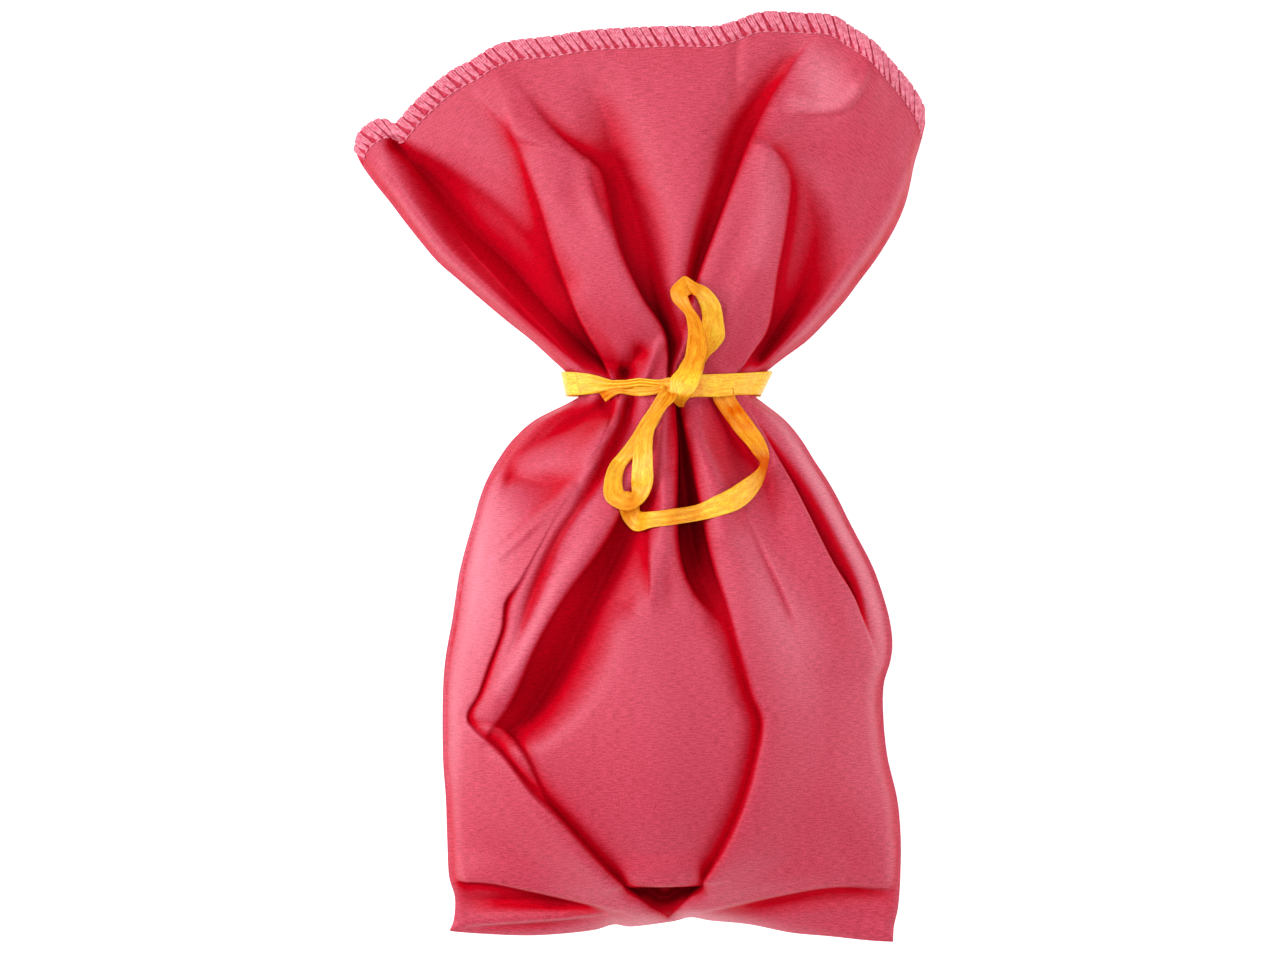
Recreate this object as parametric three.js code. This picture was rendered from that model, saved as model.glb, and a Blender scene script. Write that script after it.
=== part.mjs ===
// A cloth gift pouch for a wine bottle, lying on its back on a table, tied at the neck with a satin ribbon.
// Millimetres. +X is to the right, +Y runs from the bottom seam to the mouth, +Z points up off the table.
// Two cut panels of satin are joined by overlocked side and bottom seams. Both mouth edges are overlocked.
// One ribbon goes round the neck and ends in a knot with two bow loops and two free tails.
// While it is drawn, y = 0 is the middle of the ribbon band and z = 0 is the table.

import * as THREE from "three";

// Driving dimensions.
const CLOTH = 1.0; // drawn thickness of a panel; the satin itself is about 0.3
const GAP = 0.35; // between neighbouring pieces
const BOTTOM_Y = -215;
const MOUTH_Y = 141;
const BODY_FRONT = 54; // height of the filled pouch off the table
const NECK_FRONT = 24;
const NECK_BACK = 4;
const MOUTH_FRONT = 15;
const FLAT_SHARE = 0.55; // share of the half width over which the back lies flat
const LEFT_BEND = 3; // how suddenly the mouth line falls away towards its left end
const RIGHT_BEND = 5;
const GATHERS = 6; // soft ridges across the front where the cloth is gathered
const HEM_WIDTH = 7.3; // overlock stitching along a mouth edge
const HEM_EXTRA = 0.6; // how much thicker the stitched edge is than the cloth
const ALLOWANCE = 6; // depth of the overlocked seams inside the pouch
const ALLOWANCE_THICKNESS = 0.5;
const ALLOWANCE_LIFT = 0.1; // of a side seam's middle above the seam line
const RIBBON_WIDTH = 9.5;
const RIBBON_THICKNESS = 0.6;
const KNOT_CENTRE = [4.6, -1.2];
const KNOT_SIZE = [12, 9, 6];

const COLOURS = { satin: 0xd8506a, thread: 0xe88496, ribbon: 0xf5bd33 };

// Cross sections from the bottom seam to the mouth. left and right are half widths, seam is the height of the
// side seams, front and back are the heights of the panels on the centre line, gather is how deep the valleys
// between the ridges are, droop is how far the line's ends fall back towards the neck, and lean is how far its
// right end is carried towards the mouth.
const SECTIONS = [
  { y: BOTTOM_Y, left: 84.5, right: 87.5, seam: 1.175, front: 3.4, back: 0, gather: 0, droop: 0, lean: -2 },
  { y: -200, left: 84, right: 89, seam: 4, front: 17, back: 0, gather: 0, droop: 0, lean: -1 },
  { y: -180, left: 85, right: 90, seam: 8, front: 34, back: 0, gather: 0.5, droop: 0, lean: 0 },
  { y: -150, left: 86.5, right: 86, seam: 12, front: 48, back: 0, gather: 1, droop: 0, lean: 0 },
  { y: -115, left: 87, right: 84, seam: 15, front: BODY_FRONT, back: 0, gather: 2, droop: 0, lean: 0 },
  { y: -80, left: 82, right: 82, seam: 16, front: BODY_FRONT, back: 0, gather: 3, droop: 0, lean: 0 },
  { y: -50, left: 74, right: 69, seam: 15, front: 47, back: 0, gather: 4, droop: 0, lean: 0 },
  { y: -25, left: 62, right: 55, seam: 13, front: 36, back: 0.8, gather: 3.5, droop: 0, lean: 0 },
  { y: -6, left: 38.5, right: 37, seam: 12, front: NECK_FRONT, back: NECK_BACK, gather: 0, droop: 0, lean: 0 },
  { y: 6, left: 38.5, right: 37, seam: 12, front: NECK_FRONT, back: NECK_BACK, gather: 0, droop: 0, lean: 0 },
  { y: 18, left: 49, right: 48, seam: 10.5, front: 25, back: 2, gather: 3, droop: 2.5, lean: 0 },
  { y: 35, left: 64, right: 62, seam: 9, front: 24, back: 0, gather: 4, droop: 8, lean: 0 },
  { y: 69, left: 90, right: 80, seam: 7, front: 22, back: 0, gather: 4, droop: 18, lean: 1 },
  { y: 100, left: 107, right: 92, seam: 5.5, front: 19, back: 0, gather: 3, droop: 28, lean: 2 },
  { y: MOUTH_Y, left: 121, right: 99, seam: 4.5, front: MOUTH_FRONT, back: 0, gather: 2, droop: 41, lean: 3 },
];

// Every value of the cross section at y, eased between the stations without overshoot.
function section(y) {
  const found = SECTIONS.findIndex((s) => s.y >= y);
  const upper = found < 0 ? SECTIONS.length - 1 : Math.max(1, found);
  const [from, to] = [SECTIONS[upper - 1], SECTIONS[upper]];
  const span = to.y - from.y;
  const t = THREE.MathUtils.clamp((y - from.y) / span, 0, 1);
  const value = { y };
  for (const key of Object.keys(from).slice(1)) {
    const [m0, m1] = [slope(key, upper - 1) * span, slope(key, upper) * span];
    const rise = to[key] - from[key];
    value[key] = from[key] + rise * (3 - 2 * t) * t ** 2 + m0 * t * (1 - t) ** 2 - m1 * t ** 2 * (1 - t);
  }
  return value;
}

// Slope of one value at a station, zero where the value turns round.
function slope(key, i) {
  const [before, at, after] = [SECTIONS[i - 1], SECTIONS[i], SECTIONS[i + 1]];
  if (!before || !after) return 0;
  const below = (at[key] - before[key]) / (at.y - before.y);
  const above = (after[key] - at[key]) / (after.y - at.y);
  return below * above <= 0 ? 0 : (2 * below * above) / (below + above);
}

// Position seen from above of the point at share s of the half width, -1 at the left seam and 1 at the right.
function plan(c, s) {
  const fall = c.droop * Math.abs(s) ** (s < 0 ? LEFT_BEND : RIGHT_BEND);
  return [s * (s < 0 ? c.left : c.right), c.y - fall + c.lean * s];
}

// Outer face of the front panel, an arch whose ends lie on the side seams.
function frontOuter(s, y) {
  const c = section(y);
  const foot = c.seam + GAP / 2 + CLOTH;
  return new THREE.Vector3(...plan(c, s), foot + (c.front - foot) * arch(s) - valley(c, s));
}

// Inner face of the front panel, straight below the outer one.
function frontInner(s, y) {
  const c = section(y);
  const foot = c.seam + GAP / 2;
  const share = (s * c.left) / (c.left - CLOTH);
  return new THREE.Vector3(...plan(c, s), foot + (c.front - CLOTH - foot) * arch(share) - valley(c, s));
}

const arch = (s) => Math.sqrt(Math.max(0, 1 - s * s));
const valley = (c, s) => c.gather * arch(s) * (0.5 - 0.5 * Math.cos(Math.PI * GATHERS * s));

// Under face of the back panel, flat in the middle and turned up at the side seams.
function backOuter(s, y) {
  const c = section(y);
  const turn = Math.max(0, (Math.abs(s) - FLAT_SHARE) / (1 - FLAT_SHARE)) ** 2;
  const rim = Math.max(c.back, c.seam - GAP / 2 - CLOTH);
  return new THREE.Vector3(...plan(c, s), c.back + (rim - c.back) * turn);
}

const raised = (point, height) => point.add(new THREE.Vector3(0, 0, height));

// A closed slab between two grids of points, with walls round its four edges.
function slab(outer, inner, us, vs) {
  const positions = [outer, inner].flatMap((face) => vs.flatMap((v) => us.flatMap((u) => face(u, v).toArray())));
  const at = (face, i, j) => (face * vs.length + j) * us.length + i;
  const index = [];
  const quad = (a, b, c, d) => index.push(a, b, c, a, c, d);
  const [lastU, lastV] = [us.length - 1, vs.length - 1];
  for (let j = 0; j < lastV; j++) {
    for (let i = 0; i < lastU; i++) {
      quad(at(0, i, j), at(0, i + 1, j), at(0, i + 1, j + 1), at(0, i, j + 1));
      quad(at(1, i, j), at(1, i, j + 1), at(1, i + 1, j + 1), at(1, i + 1, j));
    }
  }
  for (let i = 0; i < lastU; i++) {
    quad(at(0, i + 1, 0), at(0, i, 0), at(1, i, 0), at(1, i + 1, 0));
    quad(at(0, i, lastV), at(0, i + 1, lastV), at(1, i + 1, lastV), at(1, i, lastV));
  }
  for (let j = 0; j < lastV; j++) {
    quad(at(0, 0, j), at(0, 0, j + 1), at(1, 0, j + 1), at(1, 0, j));
    quad(at(0, lastU, j + 1), at(0, lastU, j), at(1, lastU, j), at(1, lastU, j + 1));
  }
  const geometry = new THREE.BufferGeometry();
  geometry.setAttribute("position", new THREE.Float32BufferAttribute(positions, 3));
  geometry.setIndex(volume(positions, index) < 0 ? index.reverse() : index);
  geometry.computeVertexNormals();
  return geometry;
}

// Volume inside a closed triangle mesh, negative if its faces point inwards.
function volume(positions, index) {
  const corner = (i) => new THREE.Vector3().fromArray(positions, 3 * index[i]);
  let sixfold = 0;
  for (let i = 0; i < index.length; i += 3) sixfold += corner(i).dot(corner(i + 1).cross(corner(i + 2)));
  return sixfold / 6;
}

const steps = (from, to, count) => Array.from({ length: count + 1 }, (_, i) => from + ((to - from) * i) / count);

// Shares of the half width, closer together towards the side seams.
const shares = (count) => steps(-90, 90, count).map((angle) => Math.sin(THREE.MathUtils.degToRad(angle)));

// Every station between two heights, with the given number of steps from each to the next.
function rows(from, to, count) {
  const ys = [from, ...SECTIONS.map((s) => s.y).filter((y) => y > from && y < to), to];
  return ys.slice(1).flatMap((y, i) => steps(ys[i], y, count).slice(i ? 1 : 0));
}

const CLOTH_TOP_Y = MOUTH_Y - HEM_WIDTH - GAP;

const frontPanel = () => slab(frontOuter, frontInner, shares(34), rows(BOTTOM_Y, CLOTH_TOP_Y, 2));

function backPanel() {
  return slab((s, y) => raised(backOuter(s, y), CLOTH), backOuter, shares(16), rows(BOTTOM_Y, CLOTH_TOP_Y, 2));
}

function frontHem() {
  const outer = (s, y) => raised(frontOuter(s, y), HEM_EXTRA);
  return slab(outer, frontInner, shares(34), [MOUTH_Y - HEM_WIDTH, MOUTH_Y]);
}

function backHem() {
  const inner = (s, y) => raised(backOuter(s, y), CLOTH + HEM_EXTRA * (1 - s ** 4));
  return slab(inner, backOuter, shares(16), [MOUTH_Y - HEM_WIDTH, MOUTH_Y]);
}

// The overlocked allowance of a side seam, turned inwards between the panels. side is -1 or 1.
function sideSeam(side) {
  const face = (height) => (depth, y) => {
    const c = section(y);
    const share = side * (1 - (CLOTH + GAP + depth) / (side < 0 ? c.left : c.right));
    return new THREE.Vector3(...plan(c, share), c.seam + ALLOWANCE_LIFT + height);
  };
  const half = ALLOWANCE_THICKNESS / 2;
  return slab(face(half), face(-half), [0, ALLOWANCE], rows(SECTIONS[2].y, CLOTH_TOP_Y - 8, 2));
}

// The overlocked allowance of the bottom seam, lying just above the back panel.
function bottomSeam() {
  const face = (height) => (s, y) => {
    const c = section(y);
    return new THREE.Vector3(...plan(c, s), c.seam + height);
  };
  const half = ALLOWANCE_THICKNESS / 2;
  const start = BOTTOM_Y + 3.5;
  return slab(face(half), face(-half), steps(-0.85, 0.85, 12), [start, start + ALLOWANCE]);
}

// The outline of the neck at y = 0, seen along Y and grown by a distance.
function neckOutline(grow) {
  const c = section(0);
  const foot = c.seam + GAP / 2 + CLOTH;
  const half = (s) => s * ((s < 0 ? c.left : c.right) + grow);
  const over = steps(0, 180, 20).map((angle) => {
    const turn = THREE.MathUtils.degToRad(angle);
    return [half(Math.cos(turn)), foot + (c.front - foot + grow) * Math.sin(turn)];
  });
  const under = steps(-1, 1, 16).map((s) => [half(s), backOuter(s, 0).z - grow]);
  return [...over, ...under].map(([x, z]) => new THREE.Vector2(x, z));
}

function neckBand() {
  const shape = new THREE.Shape(neckOutline(GAP + RIBBON_THICKNESS));
  shape.holes.push(new THREE.Path(neckOutline(GAP)));
  const geometry = new THREE.ExtrudeGeometry(shape, { depth: RIBBON_WIDTH, bevelEnabled: false });
  return geometry.rotateX(Math.PI / 2).translate(0, RIBBON_WIDTH / 2, 0);
}

function knot() {
  const [x, y, z] = KNOT_SIZE;
  const bottom = NECK_FRONT + 2 * GAP + RIBBON_THICKNESS;
  const geometry = new THREE.SphereGeometry(0.5, 20, 12).rotateX(Math.PI / 2);
  return geometry.scale(x, y, z).translate(...KNOT_CENTRE, bottom + z / 2);
}

// A flat ribbon swept through stations [x, y, lift, across, tilt]. lift is the height of its middle above the
// cloth, across is the direction of its width seen from above, and tilt is how far that width is turned up.
function ribbon(stations, count) {
  const middles = stations.map(([x, y, lift]) => {
    const c = section(y);
    return new THREE.Vector3(x, y, frontOuter(x / (x < 0 ? c.left : c.right), y).z + lift);
  });
  const widths = stations.map(([, , , across, tilt]) => {
    const [turn, up] = [THREE.MathUtils.degToRad(across), THREE.MathUtils.degToRad(tilt)];
    return new THREE.Vector3(Math.cos(up) * Math.cos(turn), Math.cos(up) * Math.sin(turn), Math.sin(up));
  });
  const path = new THREE.CatmullRomCurve3(middles, false, "catmullrom");
  const turning = new THREE.CatmullRomCurve3(widths, false, "catmullrom");
  const face = (side) => (u, t) => {
    const tangent = path.getTangent(t);
    const across = turning.getPoint(t);
    across.addScaledVector(tangent, -across.dot(tangent)).normalize();
    const normal = new THREE.Vector3().crossVectors(tangent, across);
    return path.getPoint(t).addScaledVector(across, u).addScaledVector(normal, (side * RIBBON_THICKNESS) / 2);
  };
  return slab(face(1), face(-1), [-RIBBON_WIDTH / 2, RIBBON_WIDTH / 2], steps(0, 1, count));
}

const upperLoop = () => ribbon([
  [6.5, 5, 5.5, -10, 0], [12, 15, 7.5, -22, 0], [16, 25, 9.5, -18, 0], [13, 34, 11, 5, 5], [8, 39, 9, 25, 0],
  [4.5, 36, 6, 30, 0], [4, 30, 4.5, 25, 0], [4.5, 20, 3.4, 5, 0], [5.5, 5, 2.8, 0, 0],
], 36);

const lowerLoop = () => ribbon([
  [2.8, -8, 2.6, -38, 0], [-6.5, -19.5, 4.2, -30, 20], [-15, -32, 5.2, -25, 35], [-19, -42, 5.4, -20, 25],
  [-19, -48.5, 7.5, -15, 5], [-15, -46, 11, -12, 0], [-11, -34, 11.5, -12, 0], [-5, -19, 9.5, -18, 0],
  [4, -7.5, 5.6, -30, 0],
], 36);

const longTail = () => ribbon([
  [14.5, -8.5, 2.6, 40, -18], [22, -14.5, 2.8, 42, -22], [31, -22, 2.8, 35, -20], [36, -30, 3, 5, -15],
  [32, -39, 3, -50, 12], [20, -45, 2.9, -72, 18], [4, -49.5, 2.9, -76, 17], [-9, -53, 3, -80, 15],
], 32);

const shortTail = () => ribbon([
  [-3.2, 0, 2.3, 86, 0], [-9, -2, 2.2, 84, -3], [-17, -4.2, 2.4, 86, -6], [-25, -5.3, 2.6, 90, -8],
], 12);

function part(name, geometry, colour, roughness) {
  const material = new THREE.MeshStandardMaterial({ color: colour, roughness, metalness: 0 });
  const mesh = new THREE.Mesh(geometry, material);
  mesh.name = name;
  return mesh;
}

const pouch = new THREE.Group();
pouch.name = "wine_gift_pouch";
pouch.add(
  part("front_panel", frontPanel(), COLOURS.satin, 0.45),
  part("back_panel", backPanel(), COLOURS.satin, 0.45),
  part("front_mouth_overlock", frontHem(), COLOURS.thread, 0.7),
  part("back_mouth_overlock", backHem(), COLOURS.thread, 0.7),
  part("left_side_seam", sideSeam(-1), COLOURS.thread, 0.7),
  part("right_side_seam", sideSeam(1), COLOURS.thread, 0.7),
  part("bottom_seam", bottomSeam(), COLOURS.thread, 0.7),
  part("ribbon_neck_band", neckBand(), COLOURS.ribbon, 0.35),
  part("ribbon_knot", knot(), COLOURS.ribbon, 0.35),
  part("ribbon_upper_loop", upperLoop(), COLOURS.ribbon, 0.35),
  part("ribbon_lower_loop", lowerLoop(), COLOURS.ribbon, 0.35),
  part("ribbon_long_tail", longTail(), COLOURS.ribbon, 0.35),
  part("ribbon_short_tail", shortTail(), COLOURS.ribbon, 0.35),
);

// The finished object stands with its origin under the middle of its bounding box.
const bounds = new THREE.Box3().setFromObject(pouch);
const centre = bounds.getCenter(new THREE.Vector3());
for (const mesh of pouch.children) mesh.geometry.translate(-centre.x, -centre.y, -bounds.min.z);

export default pouch;
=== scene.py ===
"""A coral satin pouch for a wine bottle, tied at the neck with a yellow satin ribbon.

The pouch lies on its back. Cloth and ribbon are laid out in millimetres from the middle of the neck band:
x to the right, y towards the mouth, z up off the table. to_frame() turns that into the shared frame's metres.
"""

import bpy
import numpy as np
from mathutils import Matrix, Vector


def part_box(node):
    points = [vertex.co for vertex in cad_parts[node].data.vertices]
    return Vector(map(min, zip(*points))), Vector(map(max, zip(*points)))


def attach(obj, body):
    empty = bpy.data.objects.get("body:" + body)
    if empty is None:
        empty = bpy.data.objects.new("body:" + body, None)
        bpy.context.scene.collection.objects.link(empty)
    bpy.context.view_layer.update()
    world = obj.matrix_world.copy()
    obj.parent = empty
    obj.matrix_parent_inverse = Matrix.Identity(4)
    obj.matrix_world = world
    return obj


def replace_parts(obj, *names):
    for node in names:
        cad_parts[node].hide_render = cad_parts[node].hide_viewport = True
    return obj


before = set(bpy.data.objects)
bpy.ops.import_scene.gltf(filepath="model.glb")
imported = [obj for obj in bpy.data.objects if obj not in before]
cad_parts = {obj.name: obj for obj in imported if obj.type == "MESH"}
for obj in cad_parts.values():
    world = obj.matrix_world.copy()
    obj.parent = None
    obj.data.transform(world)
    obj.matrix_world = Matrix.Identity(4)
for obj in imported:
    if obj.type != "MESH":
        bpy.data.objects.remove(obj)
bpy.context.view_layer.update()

# ---- the frame

KNOT = (4.6, -1.2)  # the knot's middle, in millimetres from the middle of the ribbon band
knot_middle = [0.5 * (a + b) for a, b in zip(*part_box("ribbon_knot"))]
ORIGIN = np.array([knot_middle[0] - KNOT[0] / 1000, knot_middle[1] - KNOT[1] / 1000, 0.0])


def to_frame(points):
    """Millimetres from the band's middle to metres in the shared frame."""
    return np.asarray(points, dtype=float) / 1000 + ORIGIN


# ---- curves and strokes


def smooth(points, count):
    """count samples, evenly spaced in knots, of a Catmull-Rom curve through rows of numbers."""
    p = np.asarray(points, dtype=float)
    p = np.vstack([2 * p[0] - p[1], p, 2 * p[-1] - p[-2]])
    t = np.linspace(0, len(p) - 3, count)
    i = np.minimum(t.astype(int), len(p) - 4)
    f = (t - i)[:, None]
    a, b, c, d = p[i], p[i + 1], p[i + 2], p[i + 3]
    bend, twist = 2 * a - 5 * b + 4 * c - d, 3 * b - a - 3 * c + d
    return 0.5 * (2 * b + (c - a) * f + bend * f**2 + twist * f**3)


def lengths(points):
    """Distance along a line of points, from its start."""
    return np.concatenate([[0], np.cumsum(np.linalg.norm(np.diff(points, axis=0), axis=1))])


def even(points, count):
    """The same curve, evenly spaced along its length."""
    fine = smooth(points, 40 * len(points))
    run = lengths(fine[:, :2])
    at = np.linspace(0, run[-1], count)
    return np.stack([np.interp(at, run, column) for column in fine.T], axis=1)


def nearest(path, x, y):
    """Signed distance from each point to a path (positive on its left), and the values carried along it."""
    d2 = np.full(x.shape, 1e9)
    sign = np.ones(x.shape)
    values = np.zeros(x.shape + (path.shape[1] - 2,))
    for a, b in zip(path[:-1], path[1:]):
        step = b[:2] - a[:2]
        length = step @ step + 1e-9
        f = np.clip(((x - a[0]) * step[0] + (y - a[1]) * step[1]) / length, 0, 1)
        dx, dy = x - a[0] - f * step[0], y - a[1] - f * step[1]
        here = dx * dx + dy * dy
        closer = here < d2
        d2[closer] = here[closer]
        sign[closer] = np.where(step[0] * dy - step[1] * dx >= 0, 1.0, -1.0)[closer]
        values[closer] = (a[2:] + f[..., None] * (b[2:] - a[2:]))[closer]
    return np.sqrt(d2) * sign, values


def near(path, reach, x, y):
    """The points close enough to a path to feel it."""
    low, high = path[:, :2].min(0) - reach, path[:, :2].max(0) + reach
    return (x > low[0]) & (x < high[0]) & (y > low[1]) & (y < high[1])


def ridge(name, points):
    """A soft ridge through points (x, y, height, half width). A negative height makes a sharp valley."""
    return dict(name=name, kind="ridge", points=points)


def fold(name, upper, up, low, drop, points):
    """The edge of a folded layer through points (x, y, height).

    The layer on the upper side, L or R of the path, lies over the other one. It rises to its edge over a
    distance up. The lower one dips under it by drop times the height, over a distance low."""
    return dict(name=name, kind="fold", points=points, upper=upper, up=up, low=low, drop=drop)


LIP = 1.3  # how far a folded edge leans out over the layer below


def apply_strokes(strokes, grid, hold):
    """Moves the points of a grid by every stroke. hold fades the strokes out towards the side seams."""
    x0, y0 = grid[..., 0].copy(), grid[..., 1].copy()
    for stroke in strokes:
        path = smooth(stroke["points"], 8 * len(stroke["points"]))
        if stroke["kind"] == "ridge":
            mask = near(path, 3 * path[:, 3].max(), x0, y0)
            d, v = nearest(path, x0[mask], y0[mask])
            height, width = v[:, 0], np.maximum(v[:, 1], 0.8)
            round_top = np.exp(-((d / width) ** 2))
            sharp = (1 - np.clip(np.abs(d) / (2.1 * width), 0, 1)) ** 2
            profile = np.where(height < 0, 0.75 * sharp + 0.25 * round_top, round_top)
            grid[mask, 2] += hold[mask] * height * profile
            continue
        side = 1.0 if stroke["upper"] == "L" else -1.0
        mask = near(path, max(stroke["up"], stroke["low"]), x0, y0)
        d, v = nearest(path, x0[mask], y0[mask])
        height = v[:, 0]
        d = d * side
        over = 0.5 + 0.5 * np.cos(np.pi * np.clip(d / stroke["up"], 0, 1))
        under = -stroke["drop"] * (1 - np.clip(-d / stroke["low"], 0, 1)) ** 2
        mix = np.clip(d / 1.2 + 0.5, 0, 1)
        mix = mix * mix * (3 - 2 * mix)
        grid[mask, 2] += hold[mask] * height * (under + (over - under) * mix)
        # The edge leans out over the lower layer.
        tangent = np.gradient(path[:, :2], axis=0)
        tangent /= np.linalg.norm(tangent, axis=1)[:, None] + 1e-9
        along = nearest(np.hstack([path[:, :2], tangent]), x0[mask], y0[mask])[1]
        normal = np.stack([-along[:, 1], along[:, 0]], axis=1) * side
        lean = LIP * np.clip(height / 3, 0, 1) * np.exp(-(((d - 0.6) / 1.6) ** 2)) * hold[mask]
        grid[mask, 0] -= normal[:, 0] * lean
        grid[mask, 1] -= normal[:, 1] * lean
    return grid


# ---- outlines, seen from above

BODY_LEFT = [
    (-33.5, -4), (-39.5, -7.3), (-51.6, -13.5), (-60, -21), (-65.8, -29), (-70, -36.6), (-72.8, -44),
    (-75, -52), (-77.4, -60), (-79.5, -68), (-81, -75), (-83.2, -90), (-86, -106), (-87, -121), (-87, -144),
    (-86, -160), (-85.5, -178), (-85, -190), (-82.8, -198), (-83.2, -206), (-85, -211),
]
BODY_RIGHT = [
    (33.2, -4), (37.6, -7.3), (45.4, -13.5), (51.6, -21), (56.6, -29), (61.6, -36.6), (65.8, -44),
    (69.7, -52), (73.9, -60), (77.6, -67), (81, -75), (85, -88), (86.6, -98), (86, -106), (83.3, -116),
    (83.3, -129), (85, -144), (88.8, -160), (90.3, -175), (90.3, -190), (89.6, -200), (88, -207),
    (87.8, -216.5),
]
BOTTOM_EDGE = [
    (-85, -211), (-83, -212.5), (-60, -214), (-45, -213.7), (-29, -212), (-21, -209.8), (-14, -210.6),
    (1.5, -208.7), (9, -207), (17, -208.3), (32, -209.8), (48, -213), (63, -214.4), (78.5, -216),
    (87.8, -216.5),
]
FAN_LEFT = [
    (-33.5, 0), (-37, 3), (-44.3, 9.6), (-52.7, 17.3), (-62.4, 25), (-71.6, 32.7), (-80.5, 40.4),
    (-89.3, 48.1), (-95.9, 55.8), (-102, 63.5), (-107.8, 71.2), (-114, 78.9), (-119, 86), (-121.7, 92),
]
FAN_RIGHT = [
    (33, 0), (35.5, 3), (43.5, 9.6), (53.9, 17.3), (61.6, 25), (68.5, 32.7), (74.3, 40.4), (80.1, 48.1),
    (85.1, 55.8), (89.3, 63.5), (92.4, 71.2), (94.3, 78.9), (95.9, 86.6), (98.2, 94.3), (100.1, 102),
]
MOUTH_EDGE = [
    (-121.7, 92), (-120, 97.5), (-116, 101), (-112, 102.8), (-108.5, 102.4), (-106.5, 100.8), (-104, 102),
    (-98.6, 108), (-91, 115), (-83, 121), (-75.5, 124.7), (-68, 129.4), (-60, 132), (-45, 133.6), (-29, 136),
    (0, 137.4), (17, 137.4), (26, 139.6), (36, 143), (50, 142.8), (63, 142), (71, 137.4), (78.5, 132.4),
    (86, 124.7), (94, 116), (99, 108), (100.1, 102),
]

# ---- folds of the front panel

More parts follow.
